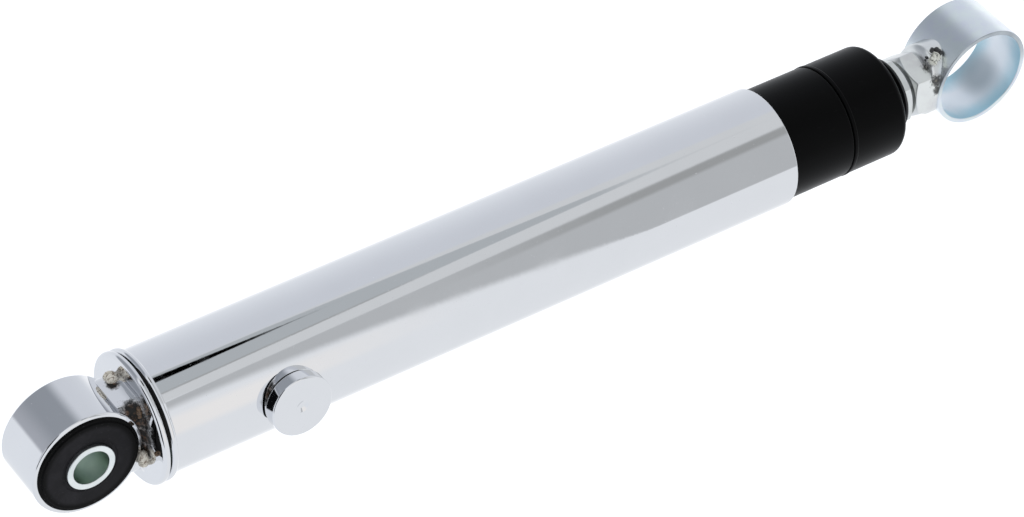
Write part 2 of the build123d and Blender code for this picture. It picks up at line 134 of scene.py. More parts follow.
# %% Sizes that the boxes do not show
cover_r = 17.0 * mm
cover_wall = 0.7 * mm
eye_wall = 2.2 * mm
ring_wall = 1.37 * mm
bolt_bore_r = 5.1 * mm
hex_flats = 17.0 * mm
stem_hex = 6.3 * mm
saddle_reach = 12.0 * mm
saddle_half = 7.8 * mm
saddle_corner = 3.0 * mm
collar_reach = 12.0 * mm
knob_r = 8.8 * mm
knob_face = 21.5 * mm
knob_thick = 3.7 * mm
knob_groove = 0.5 * mm
knob_turn = math.radians(6.4)
print(f"cover {2 * cover_r / mm:.1f} mm across, hexagons {hex_flats / mm:.1f} mm across flats")

# %% [markdown]
# ## The camera
#
# The photograph shows the part lying on white, but in the frame it stands upright. The camera was solved
# from the outline, the ring ends and the cover's lines, and is placed by its own three axes.
# A rolled camera is only a rotation matrix whose columns are right, up and backwards. The plain Standard
# view keeps white paper white, which the default view would turn grey.

# %% Camera at the photograph's angle
camera_place = Vector((0.746892, -0.665255, 0.343719))
camera_right = Vector((0.03181505, -0.55836692, -0.82898382))
camera_up = Vector((0.73733422, 0.57305888, -0.35768949))
camera_back = -Vector((-0.67477852, 0.59985823, -0.42993494))

lens = bpy.data.cameras.new("camera")
lens.sensor_width = 36.0
lens.lens = 147.41
lens.clip_start = 0.01
lens.clip_end = 100.0
camera = bpy.data.objects.new("camera", lens)
turn = Matrix((camera_right, camera_up, camera_back)).transposed()
camera.matrix_world = Matrix.Translation(camera_place) @ turn.to_4x4()
bpy.context.scene.collection.objects.link(camera)
bpy.context.scene.camera = camera
bpy.context.scene.view_settings.view_transform = "Standard"
print("camera is", round(camera_place.length, 3), "m from the upper eye")

# %% [markdown]
# ## Writing shaders as expressions
#
# A node tree for a worn metal is mostly arithmetic on masks. Wiring that by hand hides the idea, so a
# small class wraps a socket: adding, multiplying or subtracting two of them adds the Math node.


# %% A socket that does arithmetic
def operator(kind, reflected=False):
    """A method that adds one Math node, with the mask as its first value or its second."""
    def method(mask, other):
        return mask.math(kind, other, mask) if reflected else mask.math(kind, mask, other)
    return method


class Mask:
    """A number that varies over a surface: one output socket of a node tree."""

    def __init__(self, tree, socket):
        self.tree = tree
        self.socket = socket

    def math(self, operation, *values):
        """Adds one Math node of the given kind."""
        settings = {"operation": operation}
        return self.tree.node("ShaderNodeMath", settings, dict(enumerate(values))).out()

    __add__ = __radd__ = operator("ADD")
    __mul__ = __rmul__ = operator("MULTIPLY")
    __sub__ = operator("SUBTRACT")
    __rsub__ = operator("SUBTRACT", True)
    __truediv__ = operator("DIVIDE")
    __rtruediv__ = operator("DIVIDE", True)
    __pow__ = operator("POWER")


print("a Mask can be added, subtracted, multiplied, divided and raised to a power")

# %% [markdown]
# Every other node comes from one method. Settings go in first, because some of them change which sockets
# the node has. Then each socket gets a link or a plain value. A few short helpers name the steps
# that the finishes use again and again: noise, a smooth step, a mix of two colours and a distance.


# %% The tree that makes the nodes
class Made:
    """A node that has just been made, and the tree that it is in."""

    def __init__(self, tree, node):
        self.tree = tree
        self.node = node

    def out(self, name=0):
        return Mask(self.tree, self.node.outputs[name])


class Shader:
    """One node tree, with a method that makes any node."""

    def __init__(self, owner):
        owner.use_nodes = True
        self.tree = owner.node_tree
        self.tree.nodes.clear()

    def node(self, kind, settings=None, sockets=None):
        made = self.tree.nodes.new(kind)
        for name, value in (settings or {}).items():
            setattr(made, name, value)
        for name, value in (sockets or {}).items():
            if isinstance(value, Mask):
                self.tree.links.new(value.socket, made.inputs[name])
            else:
                made.inputs[name].default_value = value
        return Made(self, made)

    def place(self):
        """The point on the surface, in the frame's own metres."""
        return self.node("ShaderNodeTexCoord").out("Object")

    def split(self, vector):
        made = self.node("ShaderNodeSeparateXYZ", None, {0: vector})
        return made.out("X"), made.out("Y"), made.out("Z")

    def stretch(self, vector, factors):
        """The point with each axis made longer or shorter, for grain that runs one way."""
        return self.node("ShaderNodeVectorMath", {"operation": "MULTIPLY"}, {0: vector, 1: factors}).out()

    def away(self, vector, point):
        """The distance from a point, in metres."""
        made = self.node("ShaderNodeVectorMath", {"operation": "DISTANCE"}, {0: vector, 1: point})
        return made.out("Value")

    def noise(self, vector, scale, detail=3.0, rough=0.5):
        sockets = {"Vector": vector, "Scale": scale, "Detail": detail, "Roughness": rough}
        return self.node("ShaderNodeTexNoise", None, sockets).out()

    def step(self, value, low, high, start=0.0, end=1.0, slope="SMOOTHSTEP"):
        """Rises smoothly from start to end as the value goes from low to high."""
        sockets = {"Value": value, "From Min": low, "From Max": high, "To Min": start, "To Max": end}
        return self.node("ShaderNodeMapRange", {"interpolation_type": slope}, sockets).out()

    def slide(self, value, low, high, start=0.0, end=1.0):
        """Goes straight from start to end as the value goes from low to high, and stays there."""
        return self.step(value, low, high, start, end, "LINEAR")

    def mix(self, factor, first, second):
        """Between two colours, or two colour sockets."""
        settings = {"data_type": "RGBA"}
        made = self.node("ShaderNodeMix", settings, {0: factor})
        for index, value in ((6, first), (7, second)):
            if isinstance(value, Mask):
                self.tree.links.new(value.socket, made.node.inputs[index])
            else:
                made.node.inputs[index].default_value = (*value, 1.0)
        return made.out(2)

    def bump(self, height, depth, strength=1.0):
        """A normal from a height between 0 and 1 that stands for a depth in metres."""
        sockets = {"Height": height, "Distance": depth, "Strength": strength}
        return self.node("ShaderNodeBump", None, sockets).out()

    def surface(self, sockets):
        shader = self.node("ShaderNodeBsdfPrincipled", None, sockets)
        self.node("ShaderNodeOutputMaterial", None, {"Surface": shader.out()})


def finish(name):
    """A new material, the tree to build it in and the point on the surface."""
    material = bpy.data.materials.new(name)
    tree = Shader(material)
    return material, tree, tree.place()


print("shader helpers are ready")

# %% [markdown]
# ## The studio
#
# Chrome has no colour of its own: it shows the room. The photograph's cover is pale, with a thin black line,
# a grey band that widens towards the sleeve and a paler edge, so the room is a white tent with
# a few grey cards in it. Real cards would stand in the way of other views. Painting them on the
# world by direction gives the same reflections from every side. `heading` is the angle of a
# direction round the part, with 0 towards the camera, and `fall` is how steeply it goes down.

# %% Directions in the tent
world = bpy.data.worlds.new("tent")
bpy.context.scene.world = world
tent = Shader(world)
way = tent.node("ShaderNodeTexCoord").out("Generated")
to_camera = Vector((camera_place.x, camera_place.y, 0)).normalized()
to_side = Vector((-to_camera.y, to_camera.x, 0))


def along(vector, axis):
    return tent.node("ShaderNodeVectorMath", {"operation": "DOT_PRODUCT"}, {0: vector, 1: axis}).out("Value")


ahead = along(way, to_camera)
aside = along(way, to_side)
rise = along(way, (0, 0, 1))
degrees = 180 / math.pi
heading = aside.math("ARCTAN2", aside, ahead) * degrees
fall = rise.math("ARCSINE", rise) * -degrees
print("the tent is painted by heading and fall")

# %% [markdown]
# A card is the product of two soft steps in each direction. Its edges may lean, which is how a card that is
# near the part looks. The grey one starts narrow beside the knob and is wide at the sleeve. The dark
# strip does the opposite, and holds the black line, which is thickest at the cap and runs out. The hood is
# what stands above the camera. The knob sees it only by way of the cover, which makes its black patches.


# %% Cards in the tent
def card(value, low, high, soft):
    """1 between low and high, with edges of the given softness in degrees."""
    return tent.step(value - low, -soft, soft) * (1 - tent.step(value - high, -soft, soft))


cover_band = card(fall, 12.0, 38.0, 2.0)
widening = tent.slide(fall, 20.6, 27.4)
grey_low = -10.5 - 49.5 * widening ** 1.7
grey_high = 2 + 1.85 * (fall - 20.4)
grey_soft = tent.slide(fall, 26.4, 27.2, 7.5, 1.5)
grey_start = tent.step((heading - grey_low) / grey_soft, -1.0, 1.0)
grey = grey_start * (1 - tent.step(heading - grey_high, -1.2, 1.2))
shade = card(heading, grey_high - 15, grey_high, 4.0) * tent.step(fall, 24.0, 27.6)
strip_low = 18 + 2.6 * (fall - 20.4)
strip_high = tent.slide(fall, 22.0, 27.5, 54.0, 41.5)
strip = card(heading, strip_low, strip_high, 1.3) * (1 - tent.step(fall, 26.5, 28.4) * 0.8)
strip_edge = card(heading, strip_low - 1.0, strip_low + 1.6, 0.8) * (1 - tent.step(fall, 23.0, 25.0))
line_half = tent.slide(fall, 20.3, 22.3, 5.4, 0.9)
line = card(heading, 45.3 - line_half, 45.3 + line_half, 0.7) * (1 - tent.step(fall, 21.6, 23.0))
hood = card(heading, -74, 50, 5.0) * card(fall, -60, -31, 3.0)
print("cards: the grey band and its shade, the strip and its edge, the black line, the hood")

# %% [markdown]
# The tent's own white is bluish below and a little warm beside the knob. Upwards it is a pale lavender that
# brightens to white behind the part. The two rings look higher, over the cards: there the tent has a darker
# blue-grey panel and then a pale roof. The floor lets glossy rays through, so chrome sees only the tent.

# %% The tent's colours
tent_white = (1.15, 1.16, 1.18)
tent_pale = (0.85, 0.875, 0.91)
tent_warm = (0.94, 0.925, 0.915)
tent_middle = (0.68, 0.70, 0.72)
tent_lavender = (0.655, 0.685, 0.745)
tent_roof = (0.83, 0.865, 0.92)
card_grey = (0.515, 0.532, 0.55)
card_shade = (0.375, 0.385, 0.39)
card_strip = (0.47, 0.50, 0.525)
panel_dark = (0.31, 0.335, 0.375)
panel_pale = (0.43, 0.45, 0.50)

warm = card(heading, -58, -26, 8) * (1 - tent.step(fall, 21.0, 25.0))
panel = card(heading, 56, 118, 5.0) * (1 - tent.step(fall, 0.0, 20.0))
behind = tent.step(heading.math("ABSOLUTE", heading), 138, 180)
layers = (
    (warm, tent_warm),
    (tent.step(heading, 0, 5), tent_middle),
    (tent.step(heading, 52, 58), tent_lavender),
    (tent.step(heading, 66, 160), tent_roof),
    (1 - tent.step(fall, -20.0, 5.0), tent_roof),
    (behind * tent.step(fall, -10.0, 12.0), tent_white),
    (tent.step(fall, 40.0, 55.0) * tent.step(heading, 105, 140), tent_white),
    (grey * cover_band, card_grey),
    (shade * cover_band, card_shade),
    (strip * cover_band, card_strip),
    (strip_edge * cover_band * 0.8, card_shade),
    (line * cover_band, (0.0, 0.0, 0.0)),
    (panel, tent.mix(1 - tent.step(fall, -52.0, -25.0), panel_dark, panel_pale)),
    (hood, (0.004, 0.004, 0.005)),
)
colour = tent_pale
for mask, tone in layers:
    colour = tent.mix(mask, colour, tone)
glow = tent.node("ShaderNodeBackground", None, {"Color": colour, "Strength": 1.0})
tent.node("ShaderNodeOutputWorld", None, {"Surface": glow.out()})
print("the tent is lit")

# %% [markdown]
# The floor is a wide pale disc well below the part, which hangs from its upper eye. It glows a little,
# so that it is as white as the paper in the photograph. Two soft area lights give the black sleeve and the
# rubber a direction, which an even tent alone cannot.

# %% Floor and lights
floor_drop = 0.32
floor_r = 9.0
floor_mesh = bpy.data.meshes.new("floor")
floor_shape = bmesh.new()
bmesh.ops.create_circle(floor_shape, cap_ends=True, segments=96, radius=floor_r)
floor_shape.to_mesh(floor_mesh)
floor_shape.free()
floor = bpy.data.objects.new("floor", floor_mesh)
floor.location.z = cad_box[0][2] - floor_drop
bpy.context.scene.collection.objects.link(floor)
paper, paper_tree, paper_place = finish("paper")
fibre = paper_tree.noise(paper_place, 40.0)
paper_colour = paper_tree.mix(fibre, (0.93, 0.93, 0.93), (0.96, 0.96, 0.96))
paper_tree.surface({
    "Base Color": paper_colour,
    "Roughness": 0.9,
    "Specular IOR Level": 0.1,
    "Emission Color": (1, 1, 1, 1),
    "Emission Strength": 0.5,
})
floor_mesh.materials.append(paper)
floor.visible_glossy = False


def soft_light(name, place, target, size, power):
    """A square area light that looks at a point."""
    data = bpy.data.lights.new(name, "AREA")
    data.size = size
    data.energy = power
    light = bpy.data.objects.new(name, data)
    light.location = place
    light.visible_glossy = False
    light.rotation_euler = (Vector(target) - Vector(place)).to_track_quat("-Z", "Y").to_euler()
    bpy.context.scene.collection.objects.link(light)


part_middle = (0, 0, ring_z / 2)
soft_light("key", (0.9, 0.7, 0.9), part_middle, 0.7, 3.0)
soft_light("fill", (-0.6, -0.9, 0.3), part_middle, 0.8, 1.5)
print("floor at", round(floor.location.z, 3), "m, with two area lights")

# %% [markdown]
# ## Finishes
#
# Bright chrome is a metal with a very low roughness. What makes it real is what is on it: finger smudges
# that blur it in soft patches, pin pricks, and at the saddle's weld a brown and black zone that is partly
# weld burn and partly painted shade in the nook between saddle and cap. The zone is a mask by distance from a
# point, broken up by noise. The same mask gives painted shade in the corner at the knob's foot.


# %% Chrome
def chrome(name, burns_and_shade=(), smudge=0.05):
    """Bright plate. Each entry of the second argument is a point in metres and a radius round which the plate
    darkens: weld burn and painted shade at the saddle, painted shade at the knob's foot.
    """
    material, tree, place = finish(name)
    cloud = tree.noise(place, 90.0, 4.0)
    prick = tree.step(tree.noise(place, 2600.0, 1.0), 0.74, 0.80)
    base = tree.mix(cloud, (0.80, 0.805, 0.82), (0.84, 0.845, 0.86))
    rough = 0.025 + tree.step(cloud, 0.45, 0.75) * smudge + prick * 0.15
    height = tree.noise(place, 420.0, 2.0)
    metal = 1 - prick * 0.3
    for point, size in burns_and_shade:
        crumbs = tree.noise(place, 900.0, 4.0, 0.65)
        near = 1 - tree.step(tree.away(place, point) + (crumbs - 0.5) * size * 1.1, size * 0.45, size)
        soot_and_shade = tree.step(crumbs, 0.48, 0.66)
        burnt_and_shaded = tree.mix(soot_and_shade, (0.005, 0.004, 0.003), (0.10, 0.05, 0.025))
        base = tree.mix(near, base, burnt_and_shaded)
        rough = rough + near * 0.4
        metal = metal * (1 - near * 0.75)
        height = height + near * crumbs * 6
    tree.surface({
        "Base Color": base,
        "Metallic": metal,
        "Roughness": rough,
        "Normal": tree.bump(height, 0.006 * mm, 0.35),
    })
    return material


# Dark zones at the saddle's foot: partly weld burn, partly painted shade in the nook between saddle and cap.
burns_and_shade = (
    (Vector((10.3, -7.6, -13.6)) * mm, 4.4 * mm),
    (Vector((6.5, -8.6, -14.2)) * mm, 4.8 * mm),
    (Vector((1.5, -9.0, -14.8)) * mm, 4.6 * mm),
    (Vector((-3.0, -9.0, -15.2)) * mm, 3.6 * mm),
    (Vector((12.6, 2.2, -13.4)) * mm, 2.4 * mm),
)
plain_chrome = chrome("chrome_cover")
eye_chrome = chrome("chrome_eye")
welded_chrome = chrome("chrome_welded", burns_and_shade)
knob_chrome = chrome("chrome_knob", smudge=0.03)
# A dark zone in the corner between the knob's base and the cover: painted shade.
knob_foot_shade = ((Vector((6.2, -14.6, knob_z / mm + 7.2)) * mm, 4.4 * mm),)
foot_chrome = chrome("chrome_knob_foot", knob_foot_shade, 0.03)
print("five chromes, one of them burnt at the saddle's weld")

# %% [markdown]
# Zinc plate is duller than chrome. It has a fine grain, cloudy tone and a soft blue or straw tint from its
# last bath. The lower ring is taken to be plated together with its stem, so it shares the recipe with
# more blue in it.


# %% Zinc
def zinc(name, pale, tint, burns_and_shade=(), shaded_face_y=None):
    """Satin plate, between a pale tone and a tint. Near the end face given by the last argument along Y, on
    one side in X, it is greyer: a painted darker reflection.
    """
    material, tree, place = finish(name)
    cloud = tree.noise(place, 130.0, 5.0, 0.6)
    grain = tree.noise(tree.stretch(place, (1, 3, 1)), 1500.0, 3.0)
    base = tree.mix(tree.step(cloud, 0.35, 0.7), pale, tint)
    rough = 0.22 + cloud * 0.14 + grain * 0.06
    if shaded_face_y:
        x, y, _ = tree.split(place)
        # A greyer patch on one side of the ring's end face: painted reflection.
        face_shade = tree.step(y.math("ABSOLUTE", y), shaded_face_y - 0.4 * mm, shaded_face_y - 0.2 * mm)
        face_shade = face_shade * tree.step(x, -2.0 * mm, 5.0 * mm)
        base = tree.mix(face_shade * (0.3 + cloud), base, (0.45, 0.49, 0.52))
    height = grain + cloud
    metal = 1 - tree.step(grain, 0.7, 0.8) * 0.2
    # Each entry darkens the plate round a point: weld burn at the stem's weld, painted shade in the crevices
    # by the ring.
    for point, size in burns_and_shade:
        crumbs = tree.noise(place, 1100.0, 4.0, 0.7)
        near = 1 - tree.step(tree.away(place, point) + (crumbs - 0.5) * size * 1.4, size * 0.35, size)
        burnt_and_shaded = tree.mix(tree.step(crumbs, 0.52, 0.7), (0.008, 0.008, 0.007), (0.26, 0.23, 0.17))
        base = tree.mix(near * 0.9, base, burnt_and_shaded)
        rough = rough + near * 0.25
        metal = metal * (1 - near * 0.6)
    tree.surface({
        "Base Color": base,
        "Metallic": metal,
        "Roughness": rough,
        "Normal": tree.bump(height, 0.012 * mm, 0.5),
    })
    return material


stem_weld = Vector((7.6, -4.0, stem_top / mm - 6.6)) * mm
# Dark zones where the stem's collar meets the ring: painted shade in the crevice.
stem_crevice_shade = (
    (Vector((5.0, -7.8, stem_top / mm - 7.2)) * mm, 2.5 * mm),
    (Vector((2.0, -8.4, stem_top / mm - 7.4)) * mm, 2.0 * mm),
)
nut_zinc = zinc("zinc_nut", (0.86, 0.88, 0.87), (0.72, 0.74, 0.72))
stem_zinc = zinc("zinc_stem", (0.90, 0.92, 0.90), (0.80, 0.80, 0.80), ((stem_weld, 2.2 * mm), *stem_crevice_shade))
ring_zinc = zinc("zinc_ring", (0.88, 0.95, 0.95), (0.84, 0.88, 0.96), (), ring_half)
bolt_zinc = zinc("zinc_bolt", (0.93, 0.96, 0.95), (0.80, 0.85, 0.84))
# The bolt sleeve's bore is darker and greener than its outside: painted shade inside the bore.
shaded_bore_zinc = zinc("zinc_bolt_bore", (0.56, 0.64, 0.57), (0.46, 0.54, 0.50))
print("zinc for the nut, the stem, the ring and the bolt sleeve")

# %% [markdown]
# The ring's inner wall is bluer than its outside, so it has a finish of its own. It is teal near both
# rims and pale in the middle, with one grey patch opposite the stem: a painted dark reflection.


# %% The ring's inner wall
def passivated(name):
    material, tree, place = finish(name)
    y = tree.split(place)[1]
    cloud = tree.noise(place, 110.0, 4.0)
    near_edge = y.math("ABSOLUTE", y) + (cloud - 0.5) * 0.005
    base = tree.mix(tree.step(near_edge, 0.2 * ring_half, ring_half), (0.93, 0.96, 1.0), (0.48, 0.72, 0.82))
    # A grey patch on the inner wall opposite the stem: painted reflection.
    dark_reflection = 1 - tree.step(tree.away(place, (-10.3 * mm, 2.5 * mm, ring_z - 9.3 * mm)), 2.5 * mm, 9.0 * mm)
    base = tree.mix(dark_reflection * 0.8, base, (0.50, 0.56, 0.60))
    grain = tree.noise(tree.stretch(place, (1, 6, 1)), 900.0, 3.0)
    tree.surface({
        "Base Color": base,
        "Metallic": 0.5 + cloud * 0.1,
        "Roughness": 0.3 + cloud * 0.15,
        "Normal": tree.bump(grain, 0.01 * mm, 0.5),
    })
    return material


ring_inner = passivated("zinc_ring_inside")
print("a bluer finish for the inside of the lower ring")

# %% [markdown]
# Rubber is nearly black and matt. A bush that has been moulded has a faint bloom, tiny pits and a few
# crumbs. The sleeve is a satin black plastic: smoother, with fine moulding lines that run round it,
# scuffs along it and a paler worn line at the joint.


# %% Rubber and black plastic
def rubber(name, dark, bloom, rim_shade_from=0.0):
    """Bloom settles on rubber. Beyond a radius from the bore axis, the last argument, the colour goes near
    black: painted shade at the lip's outer edge.
    """
    material, tree, place = finish(name)
    cloud = tree.noise(place, 160.0, 5.0, 0.6)
    pit = tree.step(tree.noise(place, 1900.0, 2.0), 0.66, 0.74)
    base = tree.mix(tree.step(cloud, 0.4, 0.8), dark, bloom)
    if rim_shade_from:
        from_axis = tree.away(tree.stretch(place, (1, 0, 1)), (0, 0, 0))
        rim_shade = tree.step(from_axis, rim_shade_from - 1.0 * mm, rim_shade_from + 0.6 * mm)
        # Near black beyond the radius: painted shade by the eye's rim.
        base = tree.mix(rim_shade, base, (0.0004, 0.0004, 0.0004))
    tree.surface({
        "Base Color": tree.mix(pit, base, bloom),
        "Roughness": 0.55 + cloud * 0.2 - pit * 0.1,
        "Specular IOR Level": 0.12,
        "Normal": tree.bump(cloud + pit * 0.6, 0.03 * mm, 0.5),
    })
    return material


def satin_black(name):
    material, tree, place = finish(name)
    z = tree.split(place)[2]
    cloud = tree.noise(place, 70.0, 4.0)
    scuff = tree.step(tree.noise(tree.stretch(place, (9, 9, 1)), 330.0, 3.0), 0.66, 0.78)
    moulding = (z * 9000).math("SINE", z * 9000)
    seam = 1 - tree.step((z - sleeve_low).math("ABSOLUTE", z - sleeve_low), 0.0, 0.7 * mm)
    worn = tree.mix(scuff * 0.3 + seam * 0.4, (0.0004, 0.0004, 0.0005), (0.012, 0.012, 0.012))
    tree.surface({
        "Base Color": worn,
        "Roughness": 0.27 + cloud * 0.1 + scuff * 0.12,
        "Specular IOR Level": 0.08,
        "Normal": tree.bump(moulding * 0.5 + cloud, 0.004 * mm, 0.6),
    })
    return material


bush_black = rubber("rubber_bush", (0.011, 0.0105, 0.012), (0.022, 0.021, 0.024), bush_r - 2.0 * mm)
seal_black = rubber("rubber_seal", (0.015, 0.012, 0.011), (0.05, 0.045, 0.04))
foam = rubber("foam_stop", (0.26, 0.22, 0.12), (0.36, 0.31, 0.18))
# Near-black rubber used as painted shade: in the gap under the cap and in the knob's groove.
shade_rubber = rubber("painted_shade_rubber", (0.002, 0.002, 0.002), (0.012, 0.011, 0.010))
sleeve_black = satin_black("plastic_sleeve")
print("rubber, foam and satin black plastic")

# %% [markdown]
# The inner pieces are seen only when the part is taken apart or cut, but each still gets a real finish.
# One recipe covers oiled metals: a tone, lathe marks that run round the shaft, and a patchy oil film.


# %% Inner metals
def turned_metal(name, tone, dull, rough, metallic=1.0):
    material, tree, place = finish(name)
    cloud = tree.noise(place, 120.0, 4.0)
    marks = tree.noise(tree.stretch(place, (0.02, 0.02, 1)), 5200.0, 2.0)
    oil = tree.step(cloud, 0.5, 0.7)
    tree.surface({
        "Base Color": tree.mix(oil, tone, dull),
        "Metallic": metallic,
        "Roughness": rough + marks * 0.12 - oil * 0.08,
        "Normal": tree.bump(marks + cloud * 0.3, 0.008 * mm, 0.5),
    })
    return material


ground_chrome = turned_metal("ground_rod", (0.78, 0.79, 0.81), (0.70, 0.71, 0.74), 0.12)
oiled_steel = turned_metal("oiled_steel", (0.50, 0.51, 0.52), (0.40, 0.41, 0.42), 0.34)
black_steel = turned_metal("black_steel", (0.05, 0.05, 0.052), (0.10, 0.095, 0.09), 0.42, 0.8)
sintered = turned_metal("sintered_iron", (0.30, 0.29, 0.28), (0.20, 0.19, 0.18), 0.5)
light_alloy = turned_metal("turned_alloy", (0.76, 0.77, 0.78), (0.66, 0.67, 0.69), 0.28)
bearing_bronze = turned_metal("bearing_bronze", (0.66, 0.47, 0.25), (0.50, 0.34, 0.17), 0.32)
spring_enamel = turned_metal("spring_enamel", (0.07, 0.075, 0.085), (0.11, 0.11, 0.115), 0.38, 0.5)
band_green = turned_metal("band_plastic", (0.16, 0.26, 0.21), (0.12, 0.20, 0.17), 0.5, 0.0)
print("eight inner finishes")

# %% [markdown]
# ## Turning on a lathe
#
# Almost everything here was turned, so one helper does most of the modelling. It takes corners as
# (radius, height, rounding), swaps each rounded corner for a short arc and spins the outline.
# Rounded edges matter on chrome: they are what catches the bright rim lines.


# %% Outlines with rounded corners
def rounded(corners, steps=6):
    """A closed outline as (radius, height) points, with arcs at the corners that have a rounding."""
    points = []
    count = len(corners)
    for index, (x, y, size) in enumerate(corners):
        here = Vector((x, y))
        if size <= 0:
            points.append(here)
            continue
        before = (Vector(corners[index - 1][:2]) - here).normalized()
        after = (Vector(corners[(index + 1) % count][:2]) - here).normalized()
        half = before.angle(after) / 2
        reach = size / math.tan(half)
        centre = here + (before + after).normalized() * (size / math.sin(half))
        start = here + before * reach - centre
        sweep = start.angle_signed(here + after * reach - centre)
        for k in range(steps + 1):
            points.append(centre + Matrix.Rotation(-sweep * k / steps, 2) @ start)
    return points


def add_mesh(name, shape, material, sharp=35.0):
    """A smooth-shaded object from a bmesh, with its broad faces kept flat."""
    bmesh.ops.remove_doubles(shape, verts=shape.verts, dist=1e-7)
    bmesh.ops.recalc_face_normals(shape, faces=shape.faces)
    mesh = bpy.data.meshes.new(name)
    shape.to_mesh(mesh)
    shape.free()
    mesh.shade_smooth()
    mesh.set_sharp_from_angle(angle=math.radians(sharp))
    mesh.materials.append(material)
    piece = bpy.data.objects.new(name, mesh)
    bpy.context.scene.collection.objects.link(piece)
    weigh = piece.modifiers.new("broad_faces", "WEIGHTED_NORMAL")
    weigh.keep_sharp = True
    return piece


def about_y(z):
    """Turns the lathe's axis onto Y, at a height."""
    return Matrix.Translation((0, 0, z)) @ Matrix.Rotation(math.radians(-90), 4, "X")


def polar(angle, reach, height=0.0):
    """A point from its angle round the shaft, its radius and its height."""
    return Vector((reach * math.cos(angle), reach * math.sin(angle), height))


def skin(shape, rings):
    """Joins each ring of points to the next one and closes both ends."""
    for ring, following in zip(rings, rings[1:]):
        for k in range(len(ring)):
            j = (k + 1) % len(ring)
            shape.faces.new([ring[k], ring[j], following[j], following[k]])
    shape.faces.new(rings[0])
    shape.faces.new(rings[-1])


def wrap(shape, columns, spans, swapped=False):
    """Joins each column of points to the next one, all the way round."""
    for k, column in enumerate(columns):
        following = columns[(k + 1) % len(columns)]
        for i in range(spans):
            j = (i + 1) % len(column)
            if swapped:
                shape.faces.new([column[i], following[i], following[j], column[j]])
            else:
                shape.faces.new([column[i], column[j], following[j], following[i]])


def spin(shape, outline, place, segments=160):
    """Adds the faces of a closed outline spun about the lathe's axis."""
    rings = []
    for k in range(segments):
        across = polar(2 * math.pi * k / segments, 1.0)
        rings.append([shape.verts.new(place @ (across * p.x + Vector((0, 0, p.y)))) for p in outline])
    wrap(shape, rings, len(outline))


def turned(name, corners, material, place=None, segments=160, steps=6):
    """A piece spun from one closed outline."""
    shape = bmesh.new()
    spin(shape, rounded(corners, steps), place or Matrix.Identity(4), segments)
    return add_mesh(name, shape, material)


def tube(bore, outer, low, high, inner_edge, outer_edge):
    """The corners of a plain tube, with one rounding inside and one outside."""
    return [
        (bore, low, inner_edge),
        (outer, low, outer_edge),
        (outer, high, outer_edge),
        (bore, high, inner_edge),
    ]


print("the lathe is ready")

# %% [markdown]
# Each piece is given the body that it moves with and the CAD nodes that it stands for, which are hidden.
# One line at the end of each piece does that.


# %% Handing a piece to the frame
def seat(piece, body, slot, *nodes):
    """Rides the piece on a body and hides the nodes that it replaces. The slot is not used."""
    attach(piece, body)
    if nodes:
        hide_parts(*nodes)
    print(piece.name, "rides on", body, "with", len(piece.data.polygons), "faces")


# %% [markdown]
# ## The upper eye
#
# The ring is a short piece of tube with turned edges. The rubber fills it and stands a little proud,
# with a step near its rim. The steel sleeve for the bolt stands proud of the rubber again.

# %% Eye ring
edge = 0.55 * mm
bore_edge = 0.2 * mm
inner = eye_r - eye_wall
eye_wall_corners = tube(inner, eye_r, -eye_half, eye_half, bore_edge, edge)
eye_ring = turned("eye_ring", eye_wall_corners, eye_chrome, about_y(0), 224)
seat(eye_ring, "upper", "chrome_plate", "upper_eye_ring")

# %% Rubber bush
lip = eye_half + 0.5 * mm
step_r = bush_r - 0.8 * mm
hub_r = bolt_r + 1.3 * mm
bore_r = bolt_r + 0.04 * mm
half_bush = [
    (inner, eye_half - 0.3 * mm, 0.0),
    (bush_r, eye_half + 0.02 * mm, 0.1 * mm),
    (bush_r, lip, 0.25 * mm),
    (step_r, lip, 0.1 * mm),
    (step_r - 0.15 * mm, bush_half, 0.3 * mm),
    (hub_r, bush_half, 0.3 * mm),
    (hub_r - 0.3 * mm, bush_half - 0.25 * mm, 0.2 * mm),
    (bore_r, bush_half - 0.25 * mm, 0.15 * mm),
]
other_half = [(r, -y, size) for r, y, size in reversed(half_bush)]
bush = turned("rubber_bush", half_bush + other_half, bush_black, about_y(0), 160, 4)
seat(bush, "upper", "bush_rubber", "upper_bush_rubber")

# %% Bolt sleeve
def inside_finish(piece, centre, bore, material):
    """Gives the wall of a bore along Y its own material."""
    piece.data.materials.append(material)
    for face in piece.data.polygons:
        middle = face.center - Vector(centre)
        if math.hypot(middle.x, middle.z) < bore + 0.02 * mm:
            face.material_index = 1


bolt_edge = 0.3 * mm
bolt_corners = tube(bolt_bore_r, bolt_r, -bolt_half, bolt_half, bolt_edge, bolt_edge)
bolt_sleeve = turned("bolt_sleeve_tube", bolt_corners, bolt_zinc, about_y(0), 128, 3)
inside_finish(bolt_sleeve, (0, 0, 0), bolt_bore_r, shaded_bore_zinc)
seat(bolt_sleeve, "bolt_sleeve", "bolt_steel", "upper_bush_sleeve")

# %% [markdown]
# ## Saddle and cap
#
# The saddle is a block that the ring lies in. Seen from above it is a rectangle with rounded corners, so
# it is built as columns round that outline: each one goes from the ring's underside down to the cap, and
# turns out at its foot, where the weld has left a small fillet.


